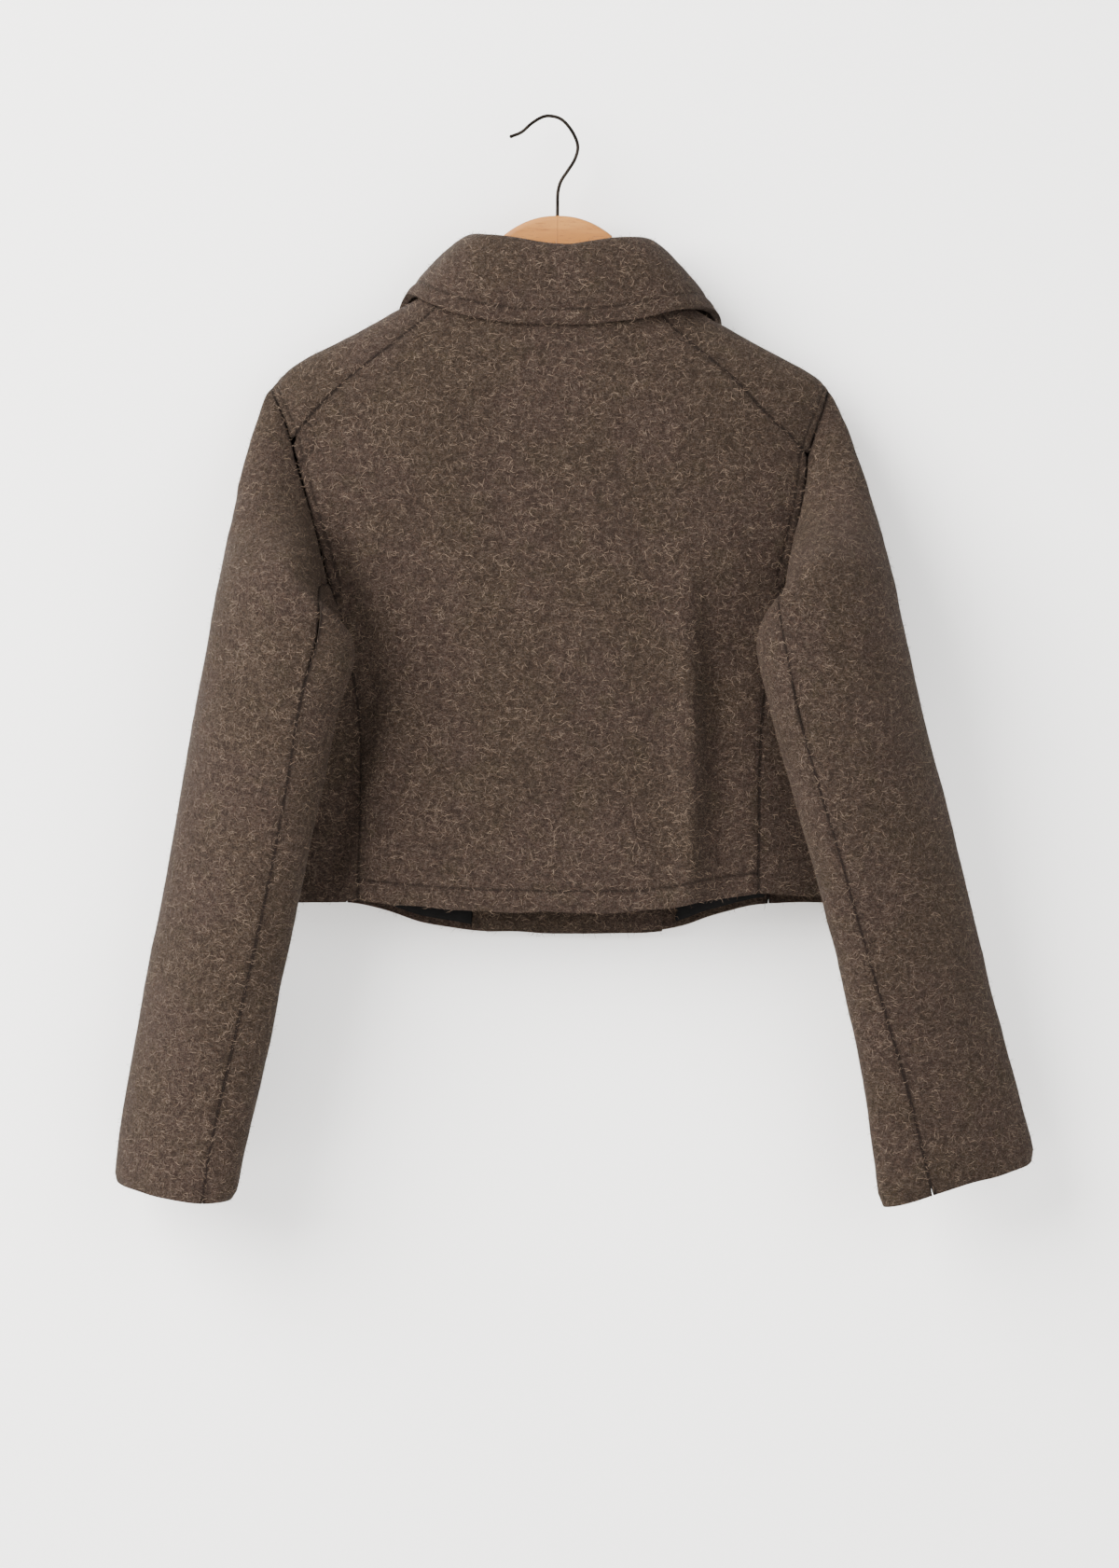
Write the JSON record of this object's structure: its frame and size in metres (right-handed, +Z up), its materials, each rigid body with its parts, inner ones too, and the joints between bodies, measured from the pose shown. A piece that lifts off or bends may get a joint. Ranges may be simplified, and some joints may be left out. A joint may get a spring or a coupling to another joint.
{
  "type": "double-breasted wool pea coat on a wooden hanger with a wire hook",
  "caption": "Cropped long-sleeved wool pea coat with a wide turned-down collar, notched lapels and a double-breasted front, hung on a curved wooden hanger with a wire hook.",
  "frame": {"origin": "underside of the hook's crown, where a rail or peg bears, in the middle plane of the hanger", "axes": "+Z up along the hanging coat, -Y out of the coat's back, +Y out of its buttoned front, -X toward the wearer's left sleeve"},
  "size_m": [0.696, 0.1436, 0.8184],
  "materials": {
    "wool": "thick brushed heather-brown melton wool, matte",
    "lining_black": "smooth black lining, slight sheen",
    "hanger_beech": "light beech, fine fleck, thin satin lacquer",
    "hook_wire": "dark steel wire, satin",
    "button_horn": "dark brown horn-like, satin gloss"
  },
  "bodies": {
    "root": {"hanger_hook": "hook_wire", "hanger_wood": "hanger_beech", "back": "wool", "collar": "wool", "side_left": "wool", "front_left": "wool", "lapel_left": "wool", "facing_left": "wool", "lining_left": "lining_black", "sleeve_top_left": "wool", "sleeve_under_left": "wool", "side_right": "wool", "front_right": "wool", "lapel_right": "wool", "facing_right": "wool", "lining_right": "lining_black", "sleeve_top_right": "wool", "sleeve_under_right": "wool", "button_1": "button_horn", "button_2": "button_horn", "button_3": "button_horn", "button_4": "button_horn", "button_5": "button_horn", "button_6": "button_horn"}
  },
  "joints": []
}
